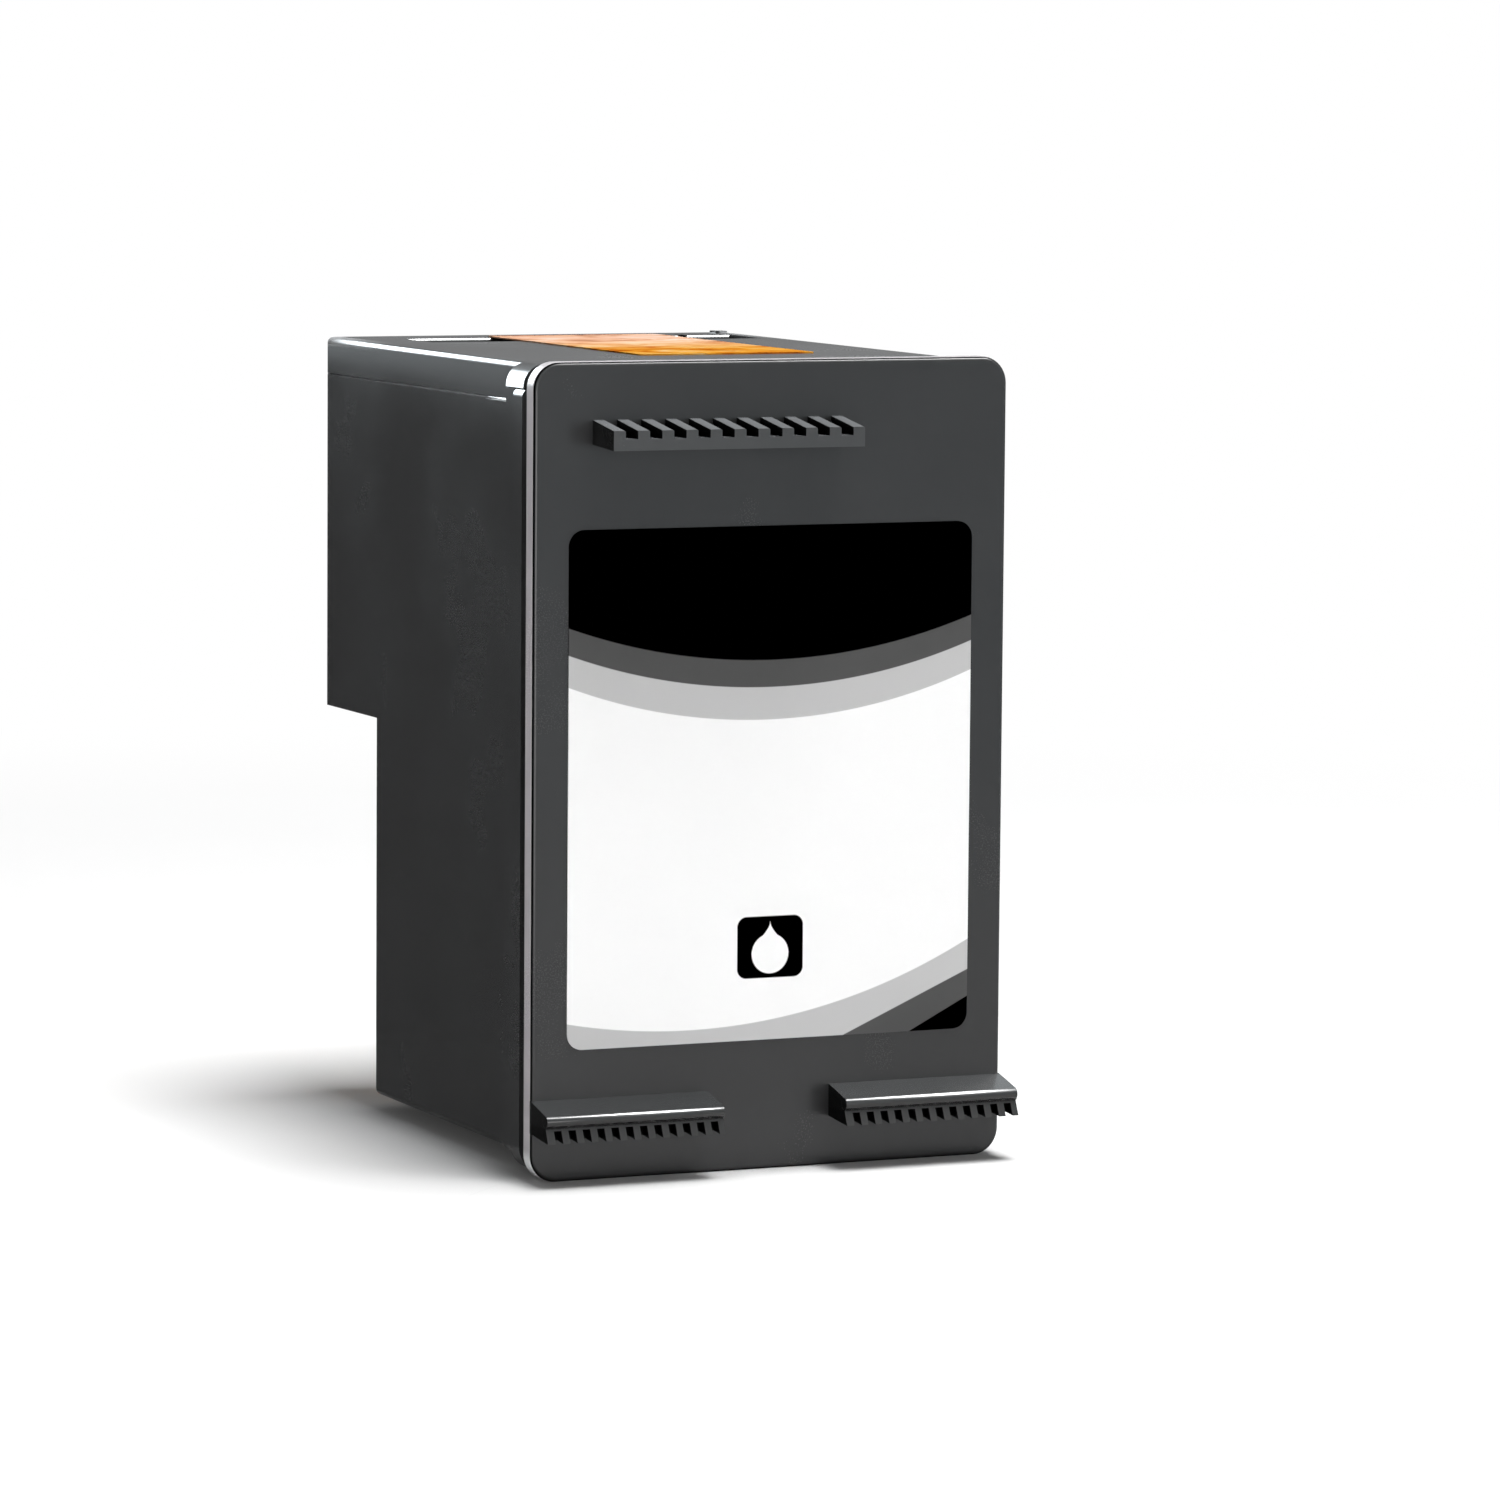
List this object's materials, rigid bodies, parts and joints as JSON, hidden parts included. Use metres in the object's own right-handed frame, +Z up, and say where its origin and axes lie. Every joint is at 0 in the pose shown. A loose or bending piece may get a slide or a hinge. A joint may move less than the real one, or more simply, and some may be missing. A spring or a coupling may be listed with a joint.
{
  "type": "inkjet ink cartridge",
  "caption": "Black inkjet ink cartridge: stepped tank with flanged front plate, finger ledges, lid, printhead snout and contact circuit.",
  "frame": {"origin": "middle of the base, under the centre of the overall box", "axes": "+Z up, -Y out of the labelled front plate, +X to the right as seen from the front"},
  "size_m": [0.038, 0.052, 0.06],
  "materials": {
    "body_plastic": "fine moulded black, satin",
    "lid_plastic": "fine moulded black, satin",
    "inked_foam": "ink-soaked open-cell foam",
    "filter_mesh": "woven stainless",
    "adhesive": "cured epoxy",
    "silicon": "polished silicon",
    "nozzle_film": "brown polymer film",
    "flex_film": "amber polyimide film",
    "pad_gold": "gold plated",
    "encapsulant": "cured bead",
    "front_label_film": "printed film, semi-gloss",
    "top_label_film": "printed film, semi-gloss"
  },
  "bodies": {
    "root": {"cartridge_body": "body_plastic", "lid": "lid_plastic", "foam_block": "inked_foam", "filter_screen": "filter_mesh", "die_adhesive": "adhesive", "printhead_die": "silicon", "nozzle_plate": "nozzle_film", "flex_circuit": "flex_film", "contact_pads": "pad_gold", "encapsulant_front": "encapsulant", "encapsulant_rear": "encapsulant", "front_label": "front_label_film", "top_label": "top_label_film"}
  },
  "joints": []
}
